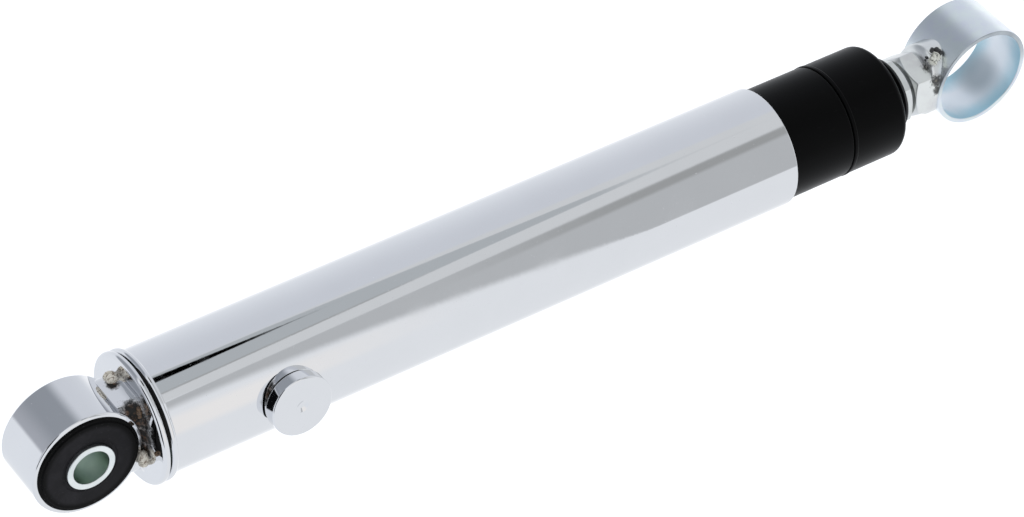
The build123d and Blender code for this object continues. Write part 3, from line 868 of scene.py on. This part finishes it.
# %% Saddle
def rounded_plan(reach, half, corner, steps=10):
    """Points and outward directions round a rectangle with rounded corners."""
    points = []
    for turn_index, (sx, sy) in enumerate(((1, 1), (-1, 1), (-1, -1), (1, -1))):
        for k in range(steps + 1):
            angle = math.pi / 2 * (turn_index + k / steps)
            out = polar(angle, 1.0)
            centre = Vector((sx * (reach - corner), sy * (half - corner), 0))
            points.append((centre + out * corner, out))
        ahead_x, ahead_y = ((-1, 1), (-1, -1), (1, -1), (1, 1))[turn_index]
        end = Vector((ahead_x * (reach - corner), ahead_y * (half - corner), 0)) + out * corner
        start = points[-1][0]
        points += [(start.lerp(end, k / 24), out) for k in range(1, 24)]
    return points


def saddle_block(name, material):
    """Columns from the ring's underside to the cap, with a flared foot."""
    shape = bmesh.new()
    foot_flare = ((3.0, 0.0), (1.2, 0.05), (0.6, 0.25), (0.25, 0.6), (0.0, 1.1))
    columns = []
    for point, out in rounded_plan(saddle_reach, saddle_half, saddle_corner):
        under_ring = -math.sqrt(eye_r ** 2 - point.x ** 2)
        column = [shape.verts.new((point.x, point.y, under_ring + 0.3 * mm))]
        for height, flare in foot_flare:
            spot = point + out * flare * mm
            level = min(cap_top + height * mm, under_ring - 0.05 * mm * (1 - height / 4))
            column.append(shape.verts.new((spot.x, spot.y, level)))
        columns.append(column)
    wrap(shape, columns, len(foot_flare))
    shape.faces.new([column[0] for column in columns])
    shape.faces.new([column[-1] for column in reversed(columns)])
    return add_mesh(name, shape, material, 50.0)


saddle = saddle_block("saddle", welded_chrome)
seat(saddle, "upper", "chrome_plate", "eye_saddle")

# %% Cap
plug_r = 7.6 * mm
cap_rim = cap_r - 0.01 * mm
plug_low = ends("top_cap")[0]
cap = turned("cap", [
    (0.0, cap_top, 0.0),
    (cap_rim, cap_top, 1.1 * mm),
    (cap_rim, cap_under, 0.4 * mm),
    (plug_r, cap_under, 0.0),
    (plug_r, plug_low, 0.3 * mm),
    (0.0, plug_low, 0.0),
], welded_chrome, segments=224)
seat(cap, "upper", "chrome_plate", "top_cap")

# %% [markdown]
# A weld bead is a row of frozen drops. Each bead here is a short lumpy rope along a path, made from
# rings whose size swells and shrinks, with a rough cream-grey finish where flux has stayed on it.


# %% Weld beads
def weld_finish(name, dark, light):
    material, tree, place = finish(name)
    crumbs = tree.noise(place, 1300.0, 5.0, 0.7)
    cream = tree.mix(tree.step(crumbs, 0.34, 0.52), dark, light)
    tree.surface({
        "Base Color": cream,
        "Metallic": tree.step(crumbs, 0.5, 0.7) * 0.6,
        "Roughness": 0.3 + crumbs * 0.4,
        "Normal": tree.bump(crumbs, 0.15 * mm, 0.8),
    })
    return material


weld_metal = weld_finish("weld_metal", (0.16, 0.10, 0.06), (0.90, 0.85, 0.74))


def bead(name, path, size, material, sides=18):
    """A lumpy rope along a path of points."""
    shape = bmesh.new()
    rings = []
    count = len(path)
    for i, point in enumerate(path):
        ahead_point = path[min(i + 1, count - 1)]
        behind_point = path[max(i - 1, 0)]
        forward = (ahead_point - behind_point).normalized()
        side = forward.orthogonal().normalized()
        other = forward.cross(side)
        share = i / (count - 1)
        swell = math.sqrt(max(0.02, 1 - (2 * share - 1) ** 4)) * rng.uniform(0.82, 1.12)
        ring = []
        for k in range(sides):
            angle = 2 * math.pi * k / sides
            out = side * math.cos(angle) + other * math.sin(angle)
            ring.append(shape.verts.new(point + out * size * swell * rng.uniform(0.93, 1.07)))
        rings.append(ring)
    skin(shape, rings)
    return add_mesh(name, shape, material, 80.0)


def between(start, end, count):
    """Evenly spaced points from start to end."""
    return [Vector(start).lerp(Vector(end), k / count) for k in range(count + 1)]


weld_z = cap_top + 0.9 * mm
burnt_weld = weld_finish("weld_burnt", (0.012, 0.009, 0.007), (0.16, 0.10, 0.06))


def on_cap(x, y, up=0.0):
    """A point from millimetres, with its height above the welds' own level."""
    return Vector((x * mm, y * mm, weld_z + up * mm))


welds = (
    ("weld_far", on_cap(12.3, 2.6, 1.3), on_cap(11.2, 6.4, 0.9), 1.7, weld_metal),
    ("weld_near", on_cap(-3.2, -8.9), on_cap(-8.4, -8.9), 1.5, weld_metal),
    ("weld_side", on_cap(7.6, -7.7), on_cap(11.2, -7.3), 0.8, burnt_weld),
    ("weld_back", on_cap(-6.5, 8.6), on_cap(1.0, 8.7), 0.8, weld_metal),
)
for name, start, end, size, metal in welds:
    seat(bead(name, between(start, end, 16), size * mm, metal), "upper", "chrome_plate")

spatter_low = Vector((0.4 * mm, -14.6 * mm, cap_top - 0.2 * mm))
spatter_path = between(spatter_low, spatter_low + Vector((0, 0, 1.0 * mm)), 8)
spatter = bead("weld_spatter", spatter_path, 0.7 * mm, burnt_weld)
seat(spatter, "upper", "chrome_plate")

# %% [markdown]
# ## Cover, knob and its base
#
# The cover is drawn tube with its top edge rolled outwards into a bead. A thin dark gap between
# this bead and the cap lets the cover turn.

# %% Cover tube
bore = cover_r - cover_wall
bead_low = cover_top - 1.9 * mm
cover = turned("cover", [
    (bore, cover_top, 0.2 * mm),
    (bead_r, cover_top, 0.85 * mm),
    (bead_r, bead_low, 0.8 * mm),
    (cover_r, bead_low - 0.05 * mm, 0.25 * mm),
    (cover_r, cover_bottom, 0.34 * mm),
    (bore, cover_bottom, 0.3 * mm),
], plain_chrome, segments=288)
seat(cover, "cover", "chrome_plate", "cover_tube")

# %% [markdown]
# A near-black bead lies in the gap on one side, where there is only shade: painted shade. It is a bead like
# a weld's, on an arc that comes a little further out in its middle.

# %% Painted shade in the gap
gap_shade_from = -80
gap_shade_sweep = 78
gap_shade_steps = 60
gap_shade_r = 17.55 * mm
gap_shade_swell = 0.25 * mm
gap_z = (cap_under + cover_top) / 2
gap_shade_path = []
for k in range(gap_shade_steps + 1):
    angle = math.radians(gap_shade_from + gap_shade_sweep * k / gap_shade_steps)
    reach = gap_shade_r + gap_shade_swell * math.sin(math.pi * k / gap_shade_steps)
    gap_shade_path.append(polar(angle, reach, gap_z))
gap_shade = bead("gap_shade_bead", gap_shade_path, 0.6 * mm, shade_rubber)
seat(gap_shade, "upper", "chrome_plate")

# %% [markdown]
# The knob is a turned disc with a groove behind its head, whose faces are painted near black: painted shade
# in the groove. It is spun like the other turned pieces, and then laid on its side by a matrix whose third
# column points out of the cover.

# %% Knob
knob_out = Vector((math.sin(knob_turn), -math.cos(knob_turn), 0))
knob_side = Vector((0, 0, 1)).cross(knob_out)
knob_place = Matrix((knob_side, knob_out.cross(knob_side), knob_out)).transposed().to_4x4()
knob_place.translation = Vector((0, 0, knob_z))
neck_r = 7.9 * mm
neck_low = knob_face - knob_thick - knob_groove
head_low = knob_face - knob_thick
bowl_r = 1.9 * mm
bowl_deep = 0.6 * mm
bowl = [(bowl_r * (1 - k / 8), knob_face - bowl_deep * math.sin(math.pi / 2 * k / 8), 0) for k in range(9)]
knob = turned("knob_head", [
    (0.0, neck_low, 0.0),
    (neck_r, neck_low, 0.0),
    (neck_r, head_low, 0.0),
    (knob_r, head_low, 0.35 * mm),
    (knob_r, knob_face, 0.5 * mm),
] + bowl, knob_chrome, knob_place, 160)
# The groove's faces take the near-black rubber: painted shade in the groove.
knob.data.materials.append(shade_rubber)
for face in knob.data.polygons:
    outward = face.center.dot(knob_out)
    if neck_low - 0.1 * mm < outward < head_low + 0.1 * mm:
        face.material_index = 1
seat(knob, "cover", "chrome_plate", "knob")

# %% [markdown]
# The base's lower edge follows the tube, so it is not a plain turned piece. Each upright edge of its wall
# starts where the tube's surface is at that point, and ends at the flat top.


# %% Knob base
def fitted_base(name, size, top, material, segments=128):
    """A round boss whose foot follows the cover."""
    shape = bmesh.new()
    levels = []
    lip_size = 0.3 * mm
    for k in range(segments):
        angle = 2 * math.pi * k / segments
        across, upright = size * math.cos(angle), size * math.sin(angle)
        foot = math.sqrt(cover_r ** 2 - across ** 2) - 0.02 * mm
        inset = 1 - lip_size / size
        column = [
            Vector((across, upright, foot)),
            Vector((across, upright, top - lip_size * 0.6)),
            Vector((across * (1 + inset) / 2, upright * (1 + inset) / 2, top - 0.08 * mm)),
            Vector((across * inset, upright * inset, top)),
        ]
        levels.append([shape.verts.new(knob_place @ p) for p in column])
    wrap(shape, levels, 3, swapped=True)
    shape.faces.new([column[3] for column in levels])
    return add_mesh(name, shape, material)


knob_base_r = 8.4 * mm
knob_foot = fitted_base("knob_foot", knob_base_r, neck_low, foot_chrome)
seat(knob_foot, "cover", "chrome_plate", "knob_base")

# %% [markdown]
# ## The black sleeve
#
# A plain tube slides in the cover, and a cup with a rounded end fits into it. The joint between
# them shows as a fine groove. A dark washer, a thin nut and the stem follow on the rod.

# %% Sleeve and cup
sleeve_bore = sleeve_r - 1.1 * mm
joint_edge = 0.32 * mm
sleeve = turned("sleeve", [
    (sleeve_bore, sleeve_top, 0.1 * mm),
    (sleeve_r, sleeve_top, joint_edge),
    (sleeve_r, sleeve_low, joint_edge),
    (sleeve_bore, sleeve_low, 0.0),
], sleeve_black, segments=224, steps=4)
seat(sleeve, "lower", "black_plastic", "dust_sleeve")

cup_end = washer_top + 3.5 * mm
cup_joint = sleeve_low - 0.35 * mm
cup_bore = sleeve_bore - 0.8 * mm
cup_inside = cup_end + 2.5 * mm
hub_r = 9.5 * mm
lip_r = sleeve_r + 0.15 * mm
rod_hole = rod_r + 0.2 * mm
cup = turned("cup", [
    (rod_hole, cup_inside, 0.0),
    (cup_bore, cup_inside, 0.5 * mm),
    (cup_bore, cup_top, 0.1 * mm),
    (sleeve_bore, cup_top, 0.1 * mm),
    (sleeve_bore, cup_joint, 0.0),
    (lip_r, cup_joint, 0.3 * mm),
    (lip_r, cup_joint - 0.9 * mm, 0.3 * mm),
    (sleeve_r, cup_joint - 1.1 * mm, 0.2 * mm),
    (sleeve_r, cup_end, 1.9 * mm),
    (hub_r, cup_end, 0.6 * mm),
    (hub_r, cup_low, 0.2 * mm),
    (rod_hole, cup_low, 0.0),
], sleeve_black, segments=224, steps=8)
seat(cup, "lower", "black_plastic", "sleeve_cup")

# %% Washer
washer_r = radius("end_washer")
washer_corners = tube(rod_hole, washer_r, washer_low, washer_top, 0.0, 0.2 * mm)
washer = turned("washer", washer_corners, black_steel, segments=128, steps=3)
seat(washer, "lower", "dark_steel", "end_washer")

# %% [markdown]
# ## Hexagons
#
# A nut's corners are turned off by a cone, which leaves the curved edge that everyone knows. The wall is
# built column by column: at each angle the hexagon's reach is known, and the cone says how
# far down the wall starts.


# %% Nut and stem hexagon
def hexagon(name, top, bottom, start_angle, bore_size, chamfers, material, per_side=20):
    """A hexagonal ring whose top or bottom corners are turned off."""
    shape = bmesh.new()
    flat = hex_flats / 2
    slope = math.tan(math.radians(30))
    seat_r = flat * 0.97
    columns = []
    for k in range(6 * per_side):
        angle = 2 * math.pi * k / (6 * per_side)
        off = (angle % (math.pi / 3)) - math.pi / 6
        reach = flat / math.cos(off)
        turned_off = (reach - seat_r) * slope
        way_out = polar(angle + start_angle, 1.0)
        upper_end = top - (turned_off if "top" in chamfers else 0)
        lower_end = bottom + (turned_off if "bottom" in chamfers else 0)
        column = [
            way_out * bore_size + Vector((0, 0, top)),
            way_out * seat_r + Vector((0, 0, top)),
            way_out * reach + Vector((0, 0, upper_end)),
            way_out * reach + Vector((0, 0, lower_end)),
            way_out * seat_r + Vector((0, 0, bottom)),
            way_out * bore_size + Vector((0, 0, bottom)),
        ]
        columns.append([shape.verts.new(p) for p in column])
    wrap(shape, columns, 6, swapped=True)
    piece = add_mesh(name, shape, material, 25.0)
    soften = piece.modifiers.new("worn_corners", "BEVEL")
    soften.width = 0.22 * mm
    soften.segments = 3
    soften.limit_method = "ANGLE"
    soften.angle_limit = math.radians(40)
    piece.modifiers.move(1, 0)
    return piece


nut_turn = math.radians(9)
stem_turn = math.radians(11)
nut = hexagon("nut", nut_top, nut_low, nut_turn, rod_r, ("bottom",), nut_zinc)
seat(nut, "lower", "zinc_plate", "lock_nut")

# %% [markdown]
# The stem's hexagon runs into a round collar that flares onto the ring and is welded there. The collar's
# foot has to lie on the ring's curve, so each ring of points slides down by its own amount.


# %% Stem
def collar(name, top, start_r, end_r, half, material, rows=20, segments=144):
    """A flared neck whose foot lies on the lower ring."""
    shoulder_share = 0.35
    foot_sink = 0.15 * mm
    shape = bmesh.new()
    levels = []
    for row in range(rows + 1):
        share = row / rows
        size = start_r + (end_r - start_r) * math.sin(min(1.0, share / shoulder_share) * math.pi / 2)
        level = []
        for k in range(segments):
            angle = 2 * math.pi * k / segments
            x = size * math.cos(angle)
            y = min(size, half) * math.sin(angle)
            foot = ring_z + math.sqrt(ring_r ** 2 - x ** 2) - foot_sink
            level.append(shape.verts.new((x, y, top + (foot - top) * share)))
        levels.append(level)
    skin(shape, levels)
    return add_mesh(name, shape, material, 50.0)


hex_low = stem_top - stem_hex
stem = hexagon("stem_hexagon", stem_top, hex_low, stem_turn, rod_r, ("top", "bottom"), stem_zinc)
seat(stem, "lower", "zinc_plate", "hex_stem")
collar_top = hex_low + 0.6 * mm
collar_start = 8.6 * mm
collar_end = collar_reach - 0.7 * mm
collar_half = 8.35 * mm
neck = collar("stem_collar", collar_top, collar_start, collar_end, collar_half, stem_zinc)
seat(neck, "lower", "zinc_plate")

# %% [markdown]
# The weld between collar and ring is a pale blob with black scale beside it. Each is a bead that runs
# down the collar from one angle, radius and height to another.

# %% Welds on the stem
blob_pale = weld_finish("weld_blob_pale", (0.05, 0.05, 0.045), (0.80, 0.80, 0.72))
blob_black = weld_finish("weld_blob_black", (0.008, 0.009, 0.010), (0.05, 0.05, 0.05))


def up_stem(angles, sizes, heights, count=24):
    """Points from one angle, radius and height on the stem to another."""
    points = []
    for k in range(count + 1):
        share = k / count
        angle, size, height = (first + (last - first) * share for first, last in (angles, sizes, heights))
        points.append(polar(math.radians(angle), size, height))
    return points


blob_top = hex_low - 0.6 * mm
blob_low = hex_low - 4.2 * mm
blob_path = up_stem((-27, -17), (9.6 * mm, 10.9 * mm), (blob_top, blob_low))
scale_path = up_stem((-19, -6), (9.3 * mm, 10.9 * mm), (blob_top + 0.6 * mm, blob_low))
end_path = up_stem((-8, -22), (11.2 * mm, 11.0 * mm), (blob_low, blob_low - 0.6 * mm))
seat(bead("stem_blob", blob_path, 1.5 * mm, blob_pale), "lower", "zinc_plate")
seat(bead("stem_scale", scale_path, 1.0 * mm, blob_black), "lower", "zinc_plate")
seat(bead("stem_scale_end", end_path, 0.8 * mm, blob_black), "lower", "zinc_plate")

# %% [markdown]
# ## The lower ring
#
# A thin-walled ring with turned edges. It is one piece, and the faces of its inner wall carry the bluer
# finish as a second material.

# %% Lower ring
ring_edge = 0.35 * mm
ring_bore = ring_r - ring_wall
ring_corners = tube(ring_bore, ring_r, -ring_half, ring_half, ring_edge, ring_edge)
ring = turned("ring", ring_corners, ring_zinc, about_y(ring_z), 224, 5)
inside_finish(ring, (0, 0, ring_z), ring_bore, ring_inner)
seat(ring, "lower", "blue_zinc", "lower_eye_ring")

# %% [markdown]
# ## Rod and spring
#
# The rod shows only as a threaded strip between the nut and the stem. The thread is a real helix: each
# point's radius follows a triangle wave of its height and angle.


# %% Rod with its thread
def threaded_rod(name, material, pitch=1.25 * mm, depth=0.55 * mm, sides=72):
    """The ground rod, its piston stud and the thread at its lower end."""
    stud_r = 3.0 * mm
    stud_length = 22.0 * mm
    shoulder = rod_top - stud_length
    thread_top = washer_top
    heights = [(rod_top, stud_r), (shoulder, stud_r), (shoulder, rod_r), (thread_top, rod_r)]
    rows = int((thread_top - rod_low) / (pitch / 8))
    heights += [(thread_top + (rod_low - thread_top) * (k + 1) / rows, None) for k in range(rows)]
    shape = bmesh.new()
    levels = []
    for height, size in heights:
        level = []
        for k in range(sides):
            share = k / sides
            reach = size
            if size is None:
                wave = abs(((height / pitch + share) % 1) * 2 - 1)
                reach = rod_r - depth * wave
            angle = 2 * math.pi * share
            level.append(shape.verts.new(polar(angle, reach, height)))
        levels.append(level)
    skin(shape, levels)
    return add_mesh(name, shape, material)


rod = threaded_rod("rod", ground_chrome)
seat(rod, "lower", "rod_chrome", "piston_rod")

# %% [markdown]
# The spring closes from both ends: the knob pushes its top down and the wheel pushes its foot up. A piece
# can be squashed by one joint only, so the wire is made in two lengths. The upper coils ride on the upper
# body, and the lower coils on the lower body.


# %% Spring in two lengths
wire_r = 2.0 * mm
coil_r = (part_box("coil_spring")[1].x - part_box("coil_spring")[0].x) / 2 - wire_r
coil_pitch = 13.4 * mm
upper_turns = 3
split_z = spring_top - upper_turns * coil_pitch


def coils(name, low, high, material, per_turn=40, sides=14):
    """A length of coil with its ends kept inside two heights."""
    shape = bmesh.new()
    levels = []
    turns = (high - low) / coil_pitch
    count = int(turns * per_turn)
    lean = math.atan2(coil_pitch, 2 * math.pi * coil_r)
    for i in range(count + 1):
        height = low + (high - low) * i / count
        angle = 2 * math.pi * (height - spring_low) / coil_pitch
        out = polar(angle, 1.0)
        round_way = Vector((-math.sin(angle), math.cos(angle), 0))
        up = Vector((0, 0, 1)) * math.cos(lean) - round_way * math.sin(lean)
        level = []
        for k in range(sides):
            a = 2 * math.pi * k / sides
            point = out * (coil_r + wire_r * math.cos(a)) + Vector((0, 0, height)) + up * wire_r * math.sin(a)
            point.z = max(low, min(high, point.z))
            level.append(shape.verts.new(point))
        levels.append(level)
    skin(shape, levels)
    return add_mesh(name, shape, material)


upper_coils = coils("upper_coils", split_z, spring_top, spring_enamel)
seat(upper_coils, "upper", "spring_steel", "coil_spring")
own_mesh(upper_coils)

lower_coils = coils("lower_coils", spring_low, split_z, spring_enamel)
seat(lower_coils, "lower", "spring_steel", "coil_spring")
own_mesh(lower_coils)

# %% [markdown]
# ## Finishes for the pieces that stay
#
# The other pieces keep their CAD shape, which is already right, and only swap their material.

# %% Inner pieces
inner_finishes = (
    (oiled_steel, ("damper_tube", "guide_keys", "compression_shims", "rebound_shims", "lower_spring_seat")),
    (band_green, ("thrust_washer", "piston_band")),
    (bearing_bronze, ("rod_guide",)),
    (seal_black, ("rod_seal", "floating_piston_seal")),
    (light_alloy, ("gland_nut", "floating_piston")),
    (sintered, ("cam_ring", "spring_seat", "piston")),
    (nut_zinc, ("knob_rivet", "piston_nut")),
    (foam, ("rebound_stop", "bump_stop")),
)
for material, nodes in inner_finishes:
    for node in nodes:
        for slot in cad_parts[node].material_slots:
            slot.material = material
print(sum(len(nodes) for _, nodes in inner_finishes), "CAD pieces keep their shape")
